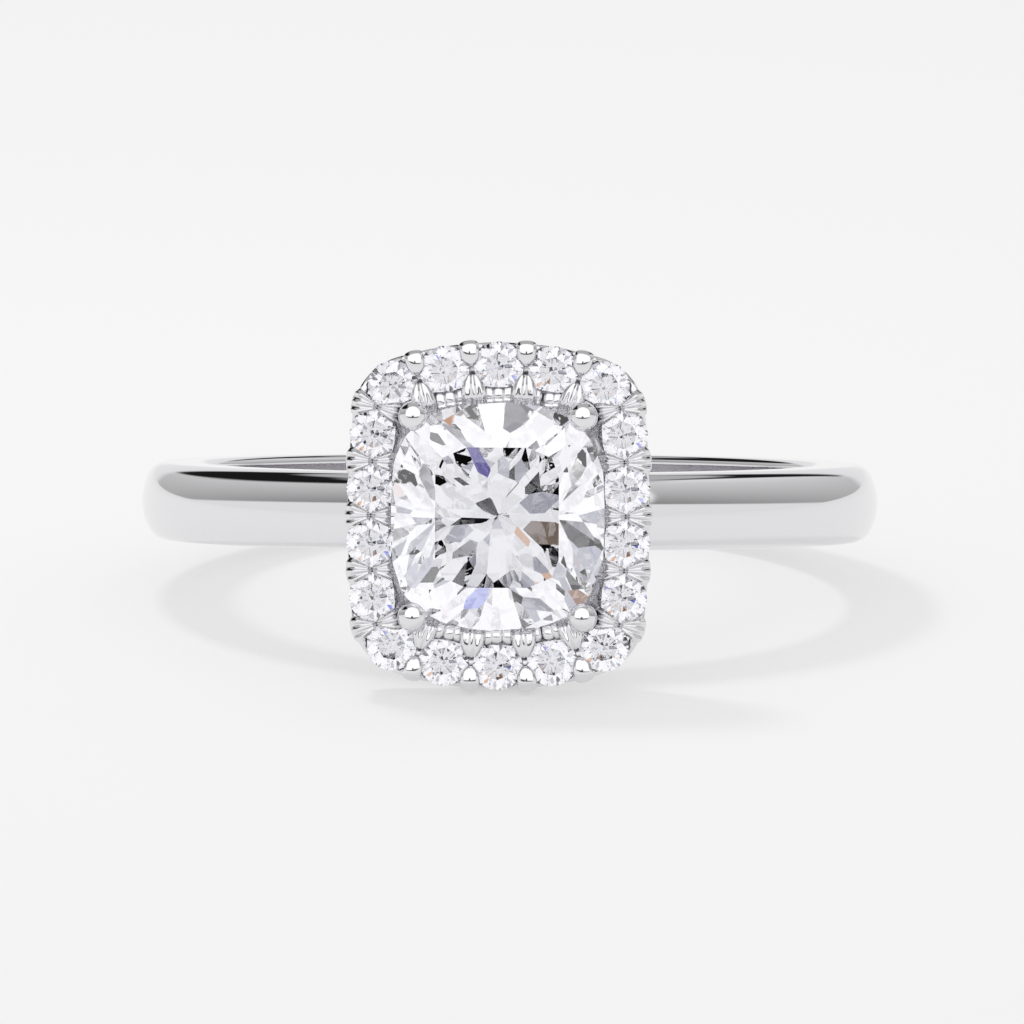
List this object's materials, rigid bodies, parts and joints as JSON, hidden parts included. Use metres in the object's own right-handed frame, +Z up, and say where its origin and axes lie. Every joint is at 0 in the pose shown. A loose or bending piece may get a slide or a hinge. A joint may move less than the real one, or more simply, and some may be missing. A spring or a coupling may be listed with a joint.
{
  "type": "halo ring",
  "caption": "Finger ring with a cushion-cut centre stone in round claws, a halo of small round brilliants round it and a plain polished shank.",
  "frame": {"origin": "middle of the footprint, on the floor that the ring lies on", "axes": "+Z up from the floor, -Y towards the head with the stones, X across the head; the finger's axis leans from +Z towards +Y by 9.64 degrees"},
  "size_m": [0.0198, 0.0238, 0.0092],
  "materials": {
    "white_gold": "mirror-polished white gold",
    "diamond": "polished facets"
  },
  "bodies": {
    "root": {"ring_mount": "white_gold", "centre_stone": "diamond", "halo_stone_01": "diamond", "halo_stone_02": "diamond", "halo_stone_03": "diamond", "halo_stone_04": "diamond", "halo_stone_05": "diamond", "halo_stone_06": "diamond", "halo_stone_07": "diamond", "halo_stone_08": "diamond", "halo_stone_09": "diamond", "halo_stone_10": "diamond", "halo_stone_11": "diamond", "halo_stone_12": "diamond", "halo_stone_13": "diamond", "halo_stone_14": "diamond", "halo_stone_15": "diamond", "halo_stone_16": "diamond", "halo_stone_17": "diamond", "halo_stone_18": "diamond"}
  },
  "joints": []
}
